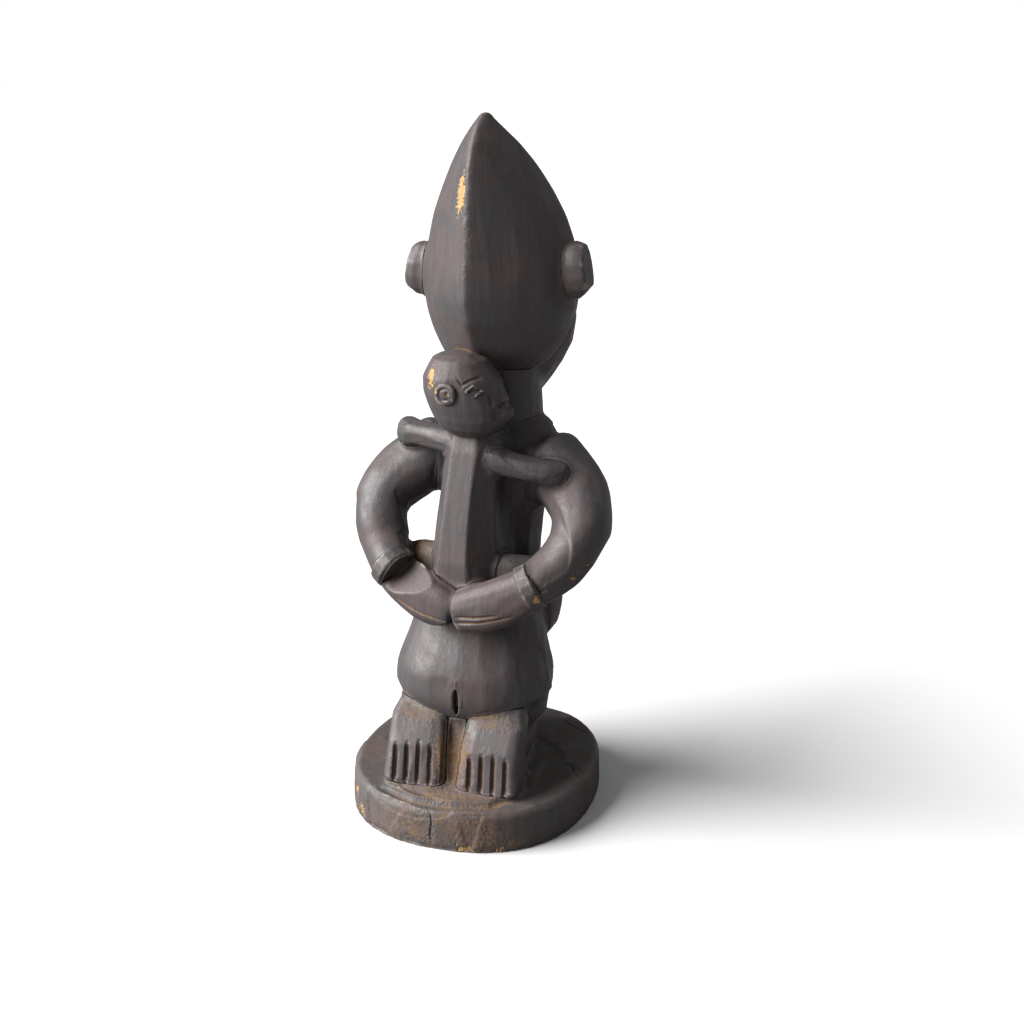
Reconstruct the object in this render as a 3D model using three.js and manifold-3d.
// A carved wooden fertility doll: a kneeling mother with a tall crested head, who holds a child
// against her back with both hands, on a thick oval base. The real figure is cut from one block
// of wood, so nothing turns or slides. Each carved member is a solid of its own here, and
// neighbours meet along the carver's own lines with a small gap.
//
// Millimetres, +Z up. The figure looks along -Y, her left side is +X, and the origin is the
// centre of the base's underside.
import * as THREE from "three";
import { mergeVertices } from "three/addons/utils/BufferGeometryUtils.js";
import Module from "manifold-3d";

// ---------------------------------------------------------------- driving dimensions
const CLEARANCE = 0.3; // gap between neighbouring members

const BASE_WIDTH = 109;
const BASE_DEPTH = 119;
const BASE_THICKNESS = 18.4;
const LEDGE_HEIGHT = 2.2; // low sloping ledge that the toes stand on
const LEDGE_REACH = 11; // how far its slope runs out behind the toes

const FOOT_WIDTH = 26.5;
const FOOT_HEIGHT = 32; // toes to heel: the soles stand upright behind her
const FOOT_THICKNESS = 17;
const FOOT_GAP = 7; // channel between the feet
const CHANNEL_DEPTH = 4.5; // how deep it is cut into the wood that is left between them
const TOE_LINE = 44; // how far behind the centre the toes stand
const TOE_GROOVE = 1.4;

const SHIN_LENGTH = 62; // knee to ankle along the base
const SHIN_RADIUS = 10.5;
const KNEE_SPREAD = 21; // centre to centre: the knees come together in front
const THIGH_RADIUS = 13;

const HIP_WIDTH = 71;
const HIP_DEPTH = 59;
const HIP_HEIGHT = 52; // seat to waist
const BELLY_WIDTH = 64;
const BELLY_HEIGHT = 44;

const TRUNK_WIDTH = 42; // at the ribs
const TRUNK_DEPTH = 36;
const TRUNK_HEIGHT = 88; // waist to the root of the neck
const SHOULDER_WIDTH = 62; // of the trunk alone, under the arms' tops
const UPPER_TURN = 7.5; // degrees that all above the hips turns to her right
const BREAST_RADIUS = 9;
const BREAST_LENGTH = 20;

const NECK_WIDTH = 35;
const NECK_DEPTH = 32;
const NECK_HEIGHT = 24; // shoulders to the underside of the head

const HEAD_WIDTH = 68;
const HEAD_DEPTH = 37; // ear line to the ridge at the back
const HEAD_HEIGHT = 105; // nape to the tip of the crest
const FACE_WIDTH = 62;
const FACE_HEIGHT = 66; // chin to the top of the forehead
const EAR_HEIGHT = 25;
const EAR_REACH = 6.5;
const EAR_DROP = 4; // her left ear sits lower than her right

const ARM_THICKNESS = 24;
const WRIST_THICKNESS = 18;
const ELBOW_SPREAD = 95; // centre to centre
const BRACELET_RADIUS = 10;
const BRACELET_HEIGHT = 5;
const HAND_HEIGHT = 20;
const HAND_THICKNESS = 14;

const CHILD_WIDTH = 28;
const CHILD_DEPTH = 31;
const CHILD_HEIGHT = 72; // seat to shoulders
const CHILD_HEAD_WIDTH = 30;
const CHILD_HEAD_LENGTH = 35;
const CHILD_HEAD_HEIGHT = 36;
const CHILD_LIMB = 11;

// ---------------------------------------------------------------- levels and places
const top = BASE_THICKNESS;
const toeFoot = top + LEDGE_HEIGHT;
const footX = (FOOT_WIDTH + FOOT_GAP) / 2;
const ankleY = TOE_LINE - 19;
const kneeY = ankleY - SHIN_LENGTH;
const seat = toeFoot + FOOT_HEIGHT - 7; // her buttocks sit down over the heels
const thighLine = seat + 1.6; // the thighs run forward level with her seat
const waist = seat + HIP_HEIGHT - 4;
const trunkFoot = waist - 10;
const trunkTop = trunkFoot + TRUNK_HEIGHT + 6;
const nape = trunkTop + NECK_HEIGHT - 6;
const upperX = -4.9; // the upper body turns about an upright line through the neck
const upperY = -18;

const wasm = await Module();
wasm.setup();

// ---------------------------------------------------------------- materials
const stained = (colour, roughness) =>
  new THREE.MeshStandardMaterial({ color: colour, roughness, metalness: 0 });
const darkWood = stained(0x2c2423, 0.5);
const wornWood = stained(0x3d302b, 0.6);
const dustyWood = stained(0x5a4534, 0.8);

// ---------------------------------------------------------------- shaping helpers
const vector = (p) => new THREE.Vector3(p[0], p[1], p[2]);
const signedPower = (value, power) => Math.sign(value) * Math.abs(value) ** power;

// Unit outlines, counter-clockwise, for half sizes of 1. Power 2 is an ellipse, more is squarer,
// and less has corners on its axes.
const oval = (sides, power, backPower = power, frontPower = power) =>
  Array.from({ length: sides }, (_, i) => {
    const angle = (2 * Math.PI * i) / sides;
    const across = Math.sin(angle) > 0 ? backPower : frontPower;
    return [signedPower(Math.cos(angle), 2 / across), signedPower(Math.sin(angle), 2 / power)];
  });
const limbOutline = oval(12, 2.3);
const bodyOutline = oval(20, 2.3);

// A closed skin through rings. A station is [x, y, z, halfAcross, halfThrough], where the last
// may also be [halfBack, halfFront]. The rings are level, or square to the line of centres
// when follow is set. Each end is flat, or a dome of the height in ends.
function loft(stations, options = {}) {
  const { grow = 0, outline = bodyOutline, steps = 2, follow = false, ends = [0, 0] } = options;
  const curve = (points) => new THREE.CatmullRomCurve3(points);
  const back = (s) => (Array.isArray(s[4]) ? s[4][0] : s[4]);
  const front = (s) => (Array.isArray(s[4]) ? s[4][1] : s[4]);
  const centres = curve(stations.map(vector));
  const halves = curve(stations.map((s) => new THREE.Vector3(s[3], back(s), front(s))));
  const across = vector(options.across ?? [1, 0, 0]);
  const up = new THREE.Vector3(0, 0, 1);
  const sides = outline.length;
  const rings = [];
  const addRing = (centre, along, half, scale) => {
    const u = across.clone().addScaledVector(along, -across.dot(along)).normalize();
    const v = along.clone().cross(u);
    for (const [a, b] of outline) {
      const through = b > 0 ? half.y : half.z;
      const point = centre.clone().addScaledVector(u, a * (half.x + grow) * scale);
      rings.push(point.addScaledVector(v, b * (through + grow) * scale));
    }
  };
  const frameAt = (t) => ({
    centre: centres.getPoint(t),
    along: follow ? centres.getTangent(t) : up,
    half: halves.getPoint(t),
  });
  const addEnd = (t, way, height) => {
    const { centre, along, half } = frameAt(t);
    const reach = height + grow;
    const rounds = height > 0 ? [0.45, 0.8, 0.97] : [];
    if (way < 0) rounds.reverse();
    for (const share of rounds) {
      const middle = centre.clone().addScaledVector(along, way * reach * share);
      addRing(middle, along, half, Math.sqrt(1 - share * share));
    }
    return centre.clone().addScaledVector(along, way * reach);
  };
  const count = (stations.length - 1) * steps;
  const first = addEnd(0, -1, ends[0]);
  for (let i = 0; i <= count; i += 1) {
    const { centre, along, half } = frameAt(i / count);
    const shift = (i === 0 && !ends[0] ? -grow : 0) + (i === count && !ends[1] ? grow : 0);
    addRing(centre.addScaledVector(along, shift), along, half, 1);
  }
  const last = addEnd(1, 1, ends[1]);

  const index = [];
  const levels = rings.length / sides;
  const at = (ring, side) => 1 + ring * sides + (side % sides);
  for (let s = 0; s < sides; s += 1) {
    index.push(0, at(0, s + 1), at(0, s));
    index.push(rings.length + 1, at(levels - 1, s), at(levels - 1, s + 1));
    for (let r = 0; r + 1 < levels; r += 1) {
      index.push(at(r, s), at(r, s + 1), at(r + 1, s + 1));
      index.push(at(r, s), at(r + 1, s + 1), at(r + 1, s));
    }
  }
  const geometry = new THREE.BufferGeometry().setFromPoints([first, ...rings, last]);
  geometry.setIndex(index);
  return geometry;
}

// A straight-edged block, for cuts.
const block = (width, depth, height) => new THREE.BoxGeometry(width, depth, height);

// ---------------------------------------------------------------- solids
function toSolid(geometry) {
  const bare = geometry.clone();
  bare.deleteAttribute("normal");
  bare.deleteAttribute("uv");
  const merged = mergeVertices(bare, 1e-4);
  return new wasm.Manifold(
    new wasm.Mesh({
      numProp: 3,
      vertProperties: new Float32Array(merged.attributes.position.array),
      triVerts: new Uint32Array(merged.index.array),
    }),
  );
}

function toGeometry(solid) {
  const mesh = solid.getMesh();
  const geometry = new THREE.BufferGeometry();
  geometry.setAttribute("position", new THREE.BufferAttribute(mesh.vertProperties, 3));
  geometry.setIndex(new THREE.BufferAttribute(mesh.triVerts, 1));
  geometry.computeVertexNormals();
  return geometry;
}

const taken = []; // the room that each finished member needs: its solid grown by the clearance

// Adds one member. shape(grow) gives { joined, cut }, lists of geometries in the parent's frame.
// It gives way to every member that is there already, and its largest body is what is kept.
function carve(parent, name, material, shape) {
  parent.updateWorldMatrix(true, false);
  const toFigure = parent.matrixWorld;
  const build = (grow) => {
    const { joined, cut = [] } = shape(grow);
    const solids = joined.map((g) => toSolid(g.clone().applyMatrix4(toFigure)));
    const whole = solids.reduce((sum, next) => sum.add(next));
    return cut.reduce((left, g) => left.subtract(toSolid(g.clone().applyMatrix4(toFigure))), whole);
  };
  const trimmed = taken.reduce((left, other) => left.subtract(other), build(0));
  const [largest] = trimmed.decompose().sort((a, b) => b.volume() - a.volume());
  taken.push(build(CLEARANCE));
  const geometry = toGeometry(largest).applyMatrix4(toFigure.clone().invert());
  const mesh = new THREE.Mesh(geometry, material);
  mesh.name = name;
  parent.add(mesh);
}

const figure = new THREE.Group();
const SIDES = [["left", 1], ["right", -1]];

// ---------------------------------------------------------------- base
carve(figure, "base", dustyWood, (grow) => {
  const x = BASE_WIDTH / 2;
  const y = BASE_DEPTH / 2;
  const rim = 1.2;
  const plinth = loft(
    [
      [0, 0, 0, x - rim, y - rim],
      [0, 0, rim, x, y],
      [0, 0, top - 2 * rim, x - 0.4, y - 0.4],
      [0, 0, top, x - 2 * rim, y - 2 * rim],
    ],
    { grow, steps: 1, outline: oval(44, 2.3) },
  );
  const ledgeX = FOOT_WIDTH + FOOT_GAP / 2;
  const ledgeY = TOE_LINE - FOOT_THICKNESS;
  const ledge = loft(
    [
      [0, ledgeY, top - 3, ledgeX + 3.5, FOOT_THICKNESS + LEDGE_REACH],
      [0, ledgeY, top, ledgeX + 2, FOOT_THICKNESS + LEDGE_REACH - 1],
      [0, ledgeY, toeFoot, ledgeX - 1, FOOT_THICKNESS - 2],
    ],
    { grow, steps: 1, outline: oval(28, 2.8) },
  );
  const webDepth = 12;
  const webBack = (soleY) => soleY - CHANNEL_DEPTH - webDepth;
  const web = loft(
    [
      [0, webBack(TOE_LINE), top - 3, FOOT_GAP / 2 + 1, webDepth],
      [0, webBack(TOE_LINE - 5), toeFoot + FOOT_HEIGHT / 2, FOOT_GAP / 2 + 1.5, webDepth],
      [0, webBack(TOE_LINE - 14), toeFoot + FOOT_HEIGHT, FOOT_GAP / 2 + 2.5, webDepth],
    ],
    { grow, steps: 2, outline: oval(20, 5) },
  );
  return { joined: [plinth, ledge, web] };
});

// ---------------------------------------------------------------- kneeling legs and feet
for (const [side, way] of SIDES) {
  const half = FOOT_THICKNESS / 2;
  carve(
    figure,
    `${side}_foot`,
    wornWood,
    (grow) => {
      const x = way * footX;
      const wide = FOOT_WIDTH / 2;
      const sole = loft(
        [
          [x, TOE_LINE - half, toeFoot, wide, half],
          [x, TOE_LINE - half - 0.5, toeFoot + 3, wide, half],
          [x, TOE_LINE - half - 5, toeFoot + FOOT_HEIGHT / 2, wide - 0.5, half],
          [way * (footX + 0.6), ankleY - 0.5, toeFoot + FOOT_HEIGHT * 0.82, wide - 1, half - 0.3],
          [way * (footX + 0.2), ankleY - 5, toeFoot + FOOT_HEIGHT, wide - 3, half - 2],
        ],
        { grow, steps: 1, outline: oval(20, 5) },
      );
      const grooves = [1, 2, 3, 4].map((toe) => {
        const groove = new THREE.CylinderGeometry(TOE_GROOVE, TOE_GROOVE, FOOT_HEIGHT / 2, 4, 1);
        groove.rotateX(Math.PI / 2 + 0.3);
        const across = x - way * wide + (way * FOOT_WIDTH * toe) / 5;
        return groove.translate(across, TOE_LINE - 2, toeFoot + FOOT_HEIGHT * 0.22);
      });
      return { joined: [sole], cut: grow ? [] : grooves };
    },
  );
  carve(
    figure,
    `${side}_shin`,
    darkWood,
    (grow) => {
      const r = SHIN_RADIUS;
      const spread = (share) => way * THREE.MathUtils.lerp(KNEE_SPREAD / 2, footX - 1, share);
      const shin = loft(
        [
          [spread(0), kneeY, top + r, r - 1, r - 0.5],
          [spread(0.45), kneeY + SHIN_LENGTH * 0.35, top + r + 1, r + 0.5, r + 1],
          [spread(0.85), kneeY + SHIN_LENGTH * 0.7, top + r + 2, r + 1.5, r + 2],
          [spread(1), ankleY, top + r + 3, r, r + 1],
        ],
        { grow, follow: true, steps: 2, outline: oval(14, 2.6), ends: [6, 0] },
      );
      return { joined: [shin] };
    },
  );
  carve(
    figure,
    `${side}_thigh`,
    darkWood,
    (grow) => {
      const r = THIGH_RADIUS;
      const x = footX + 1.5;
      const thigh = loft(
        [
          [way * x, ankleY - 14, thighLine + 2, r, r + 1],
          [way * x, 0, thighLine + 2, r + 1.5, r + 1.5],
          [(way * (x + KNEE_SPREAD / 2)) / 2, kneeY * 0.55, thighLine, r, r],
          [(way * KNEE_SPREAD) / 2, kneeY + 4, thighLine - 7, r - 2, r - 1],
        ],
        { grow, follow: true, steps: 2, outline: oval(14, 2.4), ends: [5, 7] },
      );
      return { joined: [thigh] };
    },
  );
}

// ---------------------------------------------------------------- hips and belly
carve(
  figure,
  "hips",
  darkWood,
  (grow) => {
    const x = HIP_WIDTH / 2;
    const y = HIP_DEPTH / 2;
    const level = (share) => seat + HIP_HEIGHT * share;
    const bell = loft(
      [
        [0, 5, level(0.06), x * 0.86, y * 0.86],
        [0, 3, level(0.2), x, y],
        [0, 3, level(0.38), x * 0.975, y * 0.98],
        [0, 1, level(0.6), x * 0.86, y * 0.87],
        [0, -3, level(0.82), x * 0.78, y * 0.79],
        [0, -5, level(1), x * 0.74, y * 0.74],
      ],
      { grow, ends: [5, 0] },
    );
    const cleft = block(2.2, 10, HIP_HEIGHT * 0.25);
    cleft.translate(0, 3 + y, seat + HIP_HEIGHT * 0.2);
    return { joined: [bell], cut: grow ? [] : [cleft] };
  },
);
carve(
  figure,
  "belly",
  darkWood,
  (grow) => {
    const x = BELLY_WIDTH / 2;
    const depth = x * 0.78;
    const low = waist - BELLY_HEIGHT * 0.72;
    const mound = loft(
      [
        [0, -22, low, x * 0.62, depth * 0.75],
        [0, -23, low + BELLY_HEIGHT * 0.3, x * 0.95, depth * 0.97],
        [0, -24, low + BELLY_HEIGHT * 0.55, x, depth],
        [0, -23, low + BELLY_HEIGHT * 0.8, x * 0.85, depth * 0.88],
      ],
      { grow, ends: [4, 5] },
    );
    return { joined: [mound] };
  },
);

// ---------------------------------------------------------------- trunk
const upper = new THREE.Group();
upper.position.set(upperX, upperY, 0);
upper.rotation.z = THREE.MathUtils.degToRad(-UPPER_TURN);
figure.add(upper);

const trunkBack = 3 + TRUNK_DEPTH / 2;
const breastY = 3 - TRUNK_DEPTH / 2;
carve(
  upper,
  "trunk",
  darkWood,
  (grow) => {
    const x = TRUNK_WIDTH / 2;
    const y = TRUNK_DEPTH / 2;
    const s = SHOULDER_WIDTH / 2;
    const level = (share) => trunkFoot + TRUNK_HEIGHT * share;
    const chest = loft(
      [
        [1.5, 9, level(0), x * 1.2, y * 1.2],
        [1, 6, level(0.18), x * 1.07, y * 1.08],
        [0, 4, level(0.38), x, y],
        [0, 3, level(0.54), x * 1.02, y],
        [0, 3, level(0.62), s * 0.86, y],
        [0, 3, level(0.74), s * 0.95, y],
        [0, 3, level(0.87), s * 0.97, y * 0.94],
        [0, 2, level(0.97), s * 0.8, y * 0.86],
      ],
      { grow, ends: [0, 6] },
    );
    return { joined: [chest] };
  },
);
for (const [side, way] of SIDES) {
  carve(
    upper,
    `${side}_breast`,
    darkWood,
    (grow) => {
      const r = BREAST_RADIUS;
      const z = trunkFoot + TRUNK_HEIGHT * 0.68;
      const x = way * TRUNK_WIDTH * 0.29;
      const cone = loft(
        [
          [x, breastY + 7, z + 3, r, r],
          [x, breastY - BREAST_LENGTH * 0.25, z + 1, r * 0.9, r * 0.9],
          [x * 1.15, breastY - BREAST_LENGTH * 0.65, z - 5, r * 0.45, r * 0.45],
        ],
        { grow, follow: true, outline: limbOutline, ends: [0, 2.5] },
      );
      return { joined: [cone] };
    },
  );
}

// ---------------------------------------------------------------- head
const ridgeOutline = oval(24, 1.9, 1.12, 1.9); // a sharp ridge down the back
carve(upper, "coiffure", darkWood, (grow) => {
  const x = HEAD_WIDTH / 2;
  const back = HEAD_DEPTH;
  const level = (share) => nape + HEAD_HEIGHT * share;
  const crest = loft(
    [
      [0, 4, level(0), x * 0.66, [back * 0.35, back * 0.5]],
      [0, 0, level(0.07), x * 0.8, [back * 0.74, back * 0.72]],
      [0, 0, level(0.13), x * 0.89, [back * 0.82, back * 0.8]],
      [0, 0, level(0.21), x * 0.96, [back * 0.94, back * 0.85]],
      [0, 0, level(0.3), x, [back, back * 0.87]],
      [0, 0, level(0.4), x * 0.99, [back, back * 0.85]],
      [0, 0, level(0.5), x * 0.93, [back * 0.98, back * 0.74]],
      [0, 1, level(0.6), x * 0.84, [back * 0.93, back * 0.6]],
      [0, 3, level(0.7), x * 0.7, [back * 0.84, back * 0.47]],
      [0, 6, level(0.8), x * 0.53, [back * 0.72, back * 0.35]],
      [0, 10, level(0.89), x * 0.34, [back * 0.53, back * 0.21]],
      [0, 14, level(0.96), x * 0.16, [back * 0.28, back * 0.1]],
      [0, 15.5, level(0.985), x * 0.08, [back * 0.14, back * 0.06]],
    ],
    { grow, outline: ridgeOutline, steps: 1, ends: [0, HEAD_HEIGHT * 0.015] },
  );
  // The hair ends on a slope from the forehead down to the nape, and the face fills what it cuts.
  const hairline = block(HEAD_WIDTH * 2, HEAD_DEPTH * 2, HEAD_HEIGHT);
  hairline.translate(0, -HEAD_DEPTH, -HEAD_HEIGHT / 2);
  hairline.rotateX(-0.9).translate(0, 6 - grow, nape - 1 - grow);
  return { joined: [crest], cut: [hairline] };
});
carve(
  upper,
  "face",
  darkWood,
  (grow) => {
    const x = FACE_WIDTH / 2;
    const chin = nape - FACE_HEIGHT * 0.32;
    const level = (share) => chin + FACE_HEIGHT * share;
    const mask = loft(
      [
        [0, -18, level(0), x * 0.22, 8],
        [0, -16.5, level(0.08), x * 0.37, 12],
        [0, -14, level(0.2), x * 0.57, 16],
        [0, -11.5, level(0.31), x * 0.74, 18.5],
        [0, -9, level(0.44), x * 0.9, 21],
        [0, -6, level(0.6), x * 0.98, 23.5],
        [0, -3, level(0.78), x, 25.5],
        [0, -1, level(1), x * 0.9, 25],
      ],
      { grow, outline: oval(20, 2.2), steps: 1, ends: [3, 0] },
    );
    const noseZ = level(0.42);
    const nose = loft(
      [
        [0, -27.5, noseZ, 5, 4.5],
        [0, -28, noseZ + 4, 4, 4],
        [0, -27.5, noseZ + 19, 2, 2.5],
      ],
      { grow, outline: limbOutline, steps: 1, ends: [1.5, 0] },
    );
    const lips = loft(
      [
        [0, -25.5, noseZ - 13, 6.5, 3.5],
        [0, -26, noseZ - 9, 7.5, 4],
        [0, -26, noseZ - 6, 5.5, 3],
      ],
      { grow, outline: limbOutline, steps: 1 },
    );
    return { joined: [mask, nose, lips] };
  },
);
carve(
  upper,
  "neck",
  darkWood,
  (grow) => {
    const x = NECK_WIDTH / 2;
    const y = NECK_DEPTH / 2;
    const column = loft(
      [
        [0, 1, trunkTop - 12, x * 1.12, y * 1.05],
        [0, 0, trunkTop + NECK_HEIGHT * 0.3, x, y],
        [0, -1, nape + 8, x * 1.02, y * 1.02],
      ],
      { grow },
    );
    return { joined: [column] };
  },
);
for (const [side, way] of SIDES) {
  carve(
    upper,
    `${side}_ear`,
    wornWood,
    (grow) => {
      const z = nape + HEAD_HEIGHT * 0.39 - (way > 0 ? EAR_DROP : 0);
      const r = EAR_HEIGHT / 2;
      const reach = HEAD_WIDTH / 2 + EAR_REACH;
      const disc = loft(
        [
          [way * (reach - 22), 3, z, r * 0.8, r * 0.5],
          [way * (reach - 4), 2.5, z + 1, r * 0.95, r * 0.62],
          [way * (reach - 0.4), 2.2, z + 1.6, r * 0.83, r * 0.57],
        ],
        { grow, follow: true, across: [0, 0, 1], outline: oval(14, 2.2), steps: 1 },
      );
      return { joined: [disc] };
    },
  );
}

// ---------------------------------------------------------------- arms
// The child hangs from her shoulders, and her hands meet under its seat.
const childNeck = trunkTop - 7;
const childSeat = childNeck - CHILD_HEIGHT;
const shoulderZ = trunkTop - 18.5;
const handZ = childSeat + 3;
const handY = trunkBack + 25;
const wristX = ELBOW_SPREAD / 2 - 15.5;
const wristY = handY - 4.5;
const wristZ = handZ + 9;
const elbowX = ELBOW_SPREAD / 2;
const elbowY = 23;
const elbowZ = THREE.MathUtils.lerp(wristZ, shoulderZ, 0.4);
for (const [side, way] of SIDES) {
  const r = ARM_THICKNESS / 2;
  const w = WRIST_THICKNESS / 2;
  carve(
    upper,
    `${side}_upper_arm`,
    darkWood,
    (grow) => {
      const arm = loft(
        [
          [way * (elbowX - 22), 4, shoulderZ, r, r + 1],
          [way * (elbowX - 13.5), elbowY - 15.5, elbowZ + 19, r + 2, r + 2],
          [way * (elbowX - 7), elbowY - 11, elbowZ + 13.5, r + 2, r + 1.5],
          [way * (elbowX - 2), elbowY - 5, elbowZ + 7, r + 0.5, r + 1],
          [way * elbowX, elbowY, elbowZ, r, r],
        ],
        { grow, follow: true, outline: oval(14, 2.3), ends: [5, 0] },
      );
      return { joined: [arm] };
    },
  );
  carve(
    upper,
    `${side}_forearm`,
    darkWood,
    (grow) => {
      const arm = loft(
        [
          [way * elbowX, elbowY - 2, elbowZ + 3, r - 0.8, r - 0.8],
          [way * (elbowX - 3.2), elbowY + 5.5, elbowZ - 6, r - 1, r - 1],
          [way * (elbowX - 7.2), elbowY + 9, elbowZ - 12.5, r - 1.6, r - 1.6],
          [way * wristX, wristY, wristZ, w, w],
        ],
        { grow, follow: true, across: [0, 0, 1], outline: oval(14, 2.3), ends: [4, 0] },
      );
      return { joined: [arm] };
    },
  );
  carve(
    upper,
    `${side}_bracelet`,
    wornWood,
    (grow) => {
      const run = new THREE.Vector3(-way * 10, 3.5, -6).normalize();
      const ends = [-0.5, 0.5].map((share) => run.clone().multiplyScalar(share * BRACELET_HEIGHT));
      const ring = loft(
        ends.map((e) => [way * wristX + e.x, wristY + e.y, wristZ + e.z, BRACELET_RADIUS, BRACELET_RADIUS]),
        { grow, follow: true, across: [0, 0, 1], outline: oval(16, 2), steps: 1, ends: [0.8, 0.8] },
      );
      return { joined: [ring] };
    },
  );
  carve(
    upper,
    `${side}_hand`,
    wornWood,
    (grow) => {
      const tall = HAND_HEIGHT / 2;
      const thick = HAND_THICKNESS / 2;
      const hand = loft(
        [
          [way * (wristX - 1), wristY + 0.5, wristZ - 1, w, w - 1],
          [way * (wristX - 8), handY - 2.5, handZ + 3.5, tall, thick + 0.5],
          [way * wristX * 0.45, handY - 0.5, handZ - 1.2, tall + 0.3, thick],
          [way * wristX * 0.2, handY, handZ - 3.6, tall - 0.8, thick],
          [way * 0.9, handY, handZ - 5, tall - 2, thick - 0.5],
        ],
        { grow, follow: true, across: [0, 0, 1], outline: oval(14, 2.6) },
      );
      return { joined: [hand] };
    },
  );
}

// ---------------------------------------------------------------- child
const childY = trunkBack + CHILD_DEPTH * 0.22;
const childX = 1.5;
const facets = [[1, 0.3], [0.5, 1], [-0.45, 1], [-1, 0.35], [-1, -0.6], [-0.6, -1], [0.6, -1], [1, -0.6]];
carve(
  upper,
  "child_body",
  darkWood,
  (grow) => {
    const x = CHILD_WIDTH / 2;
    const y = CHILD_DEPTH / 2;
    const level = (share) => childSeat + CHILD_HEIGHT * share;
    const torso = loft(
      [
        [childX, childY + 2, level(0), x * 0.72, y * 0.75],
        [childX, childY + 1.5, level(0.1), x * 1.02, y],
        [childX, childY + 1, level(0.25), x * 1.06, y * 1.02],
        [childX, childY, level(0.45), x * 0.98, y * 0.94],
        [childX - 0.5, childY - 1.5, level(0.68), x * 0.9, y * 0.84],
        [childX - 1, childY - 3, level(0.9), x * 0.86, y * 0.72],
        [childX - 1, childY - 4, level(1), x * 0.72, y * 0.6],
      ],
      { grow, steps: 1, outline: facets },
    );
    return { joined: [torso] };
  },
);

const childHead = new THREE.Group(); // its face looks over her right shoulder
childHead.position.set(childX + 1, childY + 1.5, childNeck + CHILD_HEAD_HEIGHT * 0.46);
childHead.rotation.z = -Math.PI / 2;
upper.add(childHead);
carve(
  childHead,
  "child_head",
  darkWood,
  (grow) => {
    const x = CHILD_HEAD_WIDTH / 2;
    const y = CHILD_HEAD_LENGTH / 2;
    const h = CHILD_HEAD_HEIGHT / 2;
    const skull = loft(
      [
        [0, -y * 0.1, -h * 0.93, x * 0.45, y * 0.5],
        [0, -y * 0.13, -h * 0.75, x * 0.7, y * 0.76],
        [0, -y * 0.12, -h * 0.52, x * 0.85, y * 0.92],
        [0, -y * 0.04, -h * 0.2, x * 0.96, y * 0.99],
        [0, y * 0.06, h * 0.08, x, y * 0.98],
        [0, y * 0.13, h * 0.42, x * 0.98, y * 0.92],
        [0, y * 0.16, h * 0.7, x * 0.83, y * 0.74],
      ],
      { grow, steps: 1, outline: oval(18, 2.1), ends: [h * 0.08, h * 0.3] },
    );
    const nose = loft(
      [
        [0, -y * 0.93, -h * 0.08, 3.2, 3.2],
        [0, -y * 0.72, h * 0.36, 1.8, 2.2],
      ],
      { grow, outline: limbOutline, steps: 1, ends: [1, 1] },
    );
    const lips = loft(
      [
        [0, -y * 0.93, -h * 0.5, 4.6, 3.2],
        [0, -y, -h * 0.3, 5, 3.4],
      ],
      { grow, outline: limbOutline, steps: 1, ends: [0.8, 0.8] },
    );
    return { joined: [skull, nose, lips] };
  },
);
for (const [side, way] of SIDES) {
  carve(
    childHead,
    `child_${side}_ear`,
    wornWood,
    (grow) => {
      const x = way * (CHILD_HEAD_WIDTH / 2);
      const ring = loft(
        [
          [x - way * 4, 2.6, 2.7, 4.2, 4.2],
          [x + way * 0.8, 2.6, 2.7, 4.6, 4.6],
        ],
        { grow, follow: true, across: [0, 0, 1], outline: limbOutline, steps: 1, ends: [0, 0.8] },
      );
      return { joined: [ring] };
    },
  );
}

const childRadius = CHILD_LIMB / 2;
const childArms = {
  left: [
    [childX + 5, childY + 1, childNeck - 6],
    [childX + 15, childY - 1, childNeck - 5],
    [elbowX - 17, childY - 6, childNeck - 5],
    [elbowX - 11, childY - 10, childNeck - 6],
  ],
  right: [
    [childX - 6, childY + 1, childNeck - 9],
    [childX - 16, childY, childNeck - 12],
    [16 - elbowX, childY - 4, childNeck - 15],
    [11 - elbowX, childY - 7, childNeck - 17],
  ],
};
for (const [side, path] of Object.entries(childArms)) {
  carve(
    upper,
    `child_${side}_arm`,
    darkWood,
    (grow) => {
      const thick = [childRadius + 0.8, childRadius, childRadius, childRadius + 1.2];
      const arm = loft(
        path.map((p, i) => [...p, thick[i], i === 3 ? childRadius - 0.5 : childRadius]),
        { grow, follow: true, across: [0, 0, 1], outline: limbOutline, ends: [0, 2.5] },
      );
      return { joined: [arm] };
    },
  );
}
for (const [side, way] of SIDES) {
  carve(
    upper,
    `child_${side}_leg`,
    dustyWood,
    (grow) => {
      const z = childSeat + 13.5;
      const leg = loft(
        [
          [childX + way * CHILD_WIDTH * 0.3, childY + 3, z - 1, childRadius + 2, childRadius + 1],
          [way * (TRUNK_WIDTH / 2 + 7), childY - 5.5, z - 2, childRadius + 1.8, childRadius + 1],
          [way * (TRUNK_WIDTH / 2 + 4), childY - 22, z - 8, childRadius, childRadius],
        ],
        { grow, follow: true, across: [0, 0, 1], outline: limbOutline, ends: [0, 3] },
      );
      return { joined: [leg] };
    },
  );
}

export default figure;
